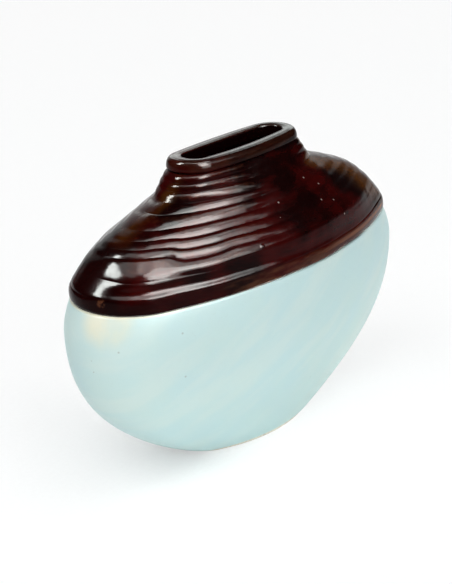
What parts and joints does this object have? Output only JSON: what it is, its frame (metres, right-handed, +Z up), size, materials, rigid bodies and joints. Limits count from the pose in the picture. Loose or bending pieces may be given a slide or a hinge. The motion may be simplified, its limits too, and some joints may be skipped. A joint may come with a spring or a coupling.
{
  "type": "pillow vase",
  "caption": "Flattened oval stoneware vase with a smooth pale bowl, a ribbed brown shoulder and a narrow slot mouth, for cut flowers.",
  "frame": {"origin": "middle of the foot, on the surface that the vase stands on", "axes": "+Z up, +X along the long side of the oval, +Y along the short side"},
  "size_m": [0.2542, 0.109, 0.172],
  "materials": {
    "bare_clay": "unglazed, fired buff stoneware, matt",
    "pale_glaze": "pale blue-green satin glaze with faint mottling",
    "brown_glaze": "dark red-brown gloss glaze, amber where thin"
  },
  "bodies": {
    "root": {"foot_ring": "bare_clay", "floor_slab": "bare_clay", "lower_bowl": "pale_glaze", "seam_slip": "bare_clay", "shoulder": "brown_glaze", "collar": "brown_glaze", "rim": "brown_glaze"}
  },
  "joints": []
}
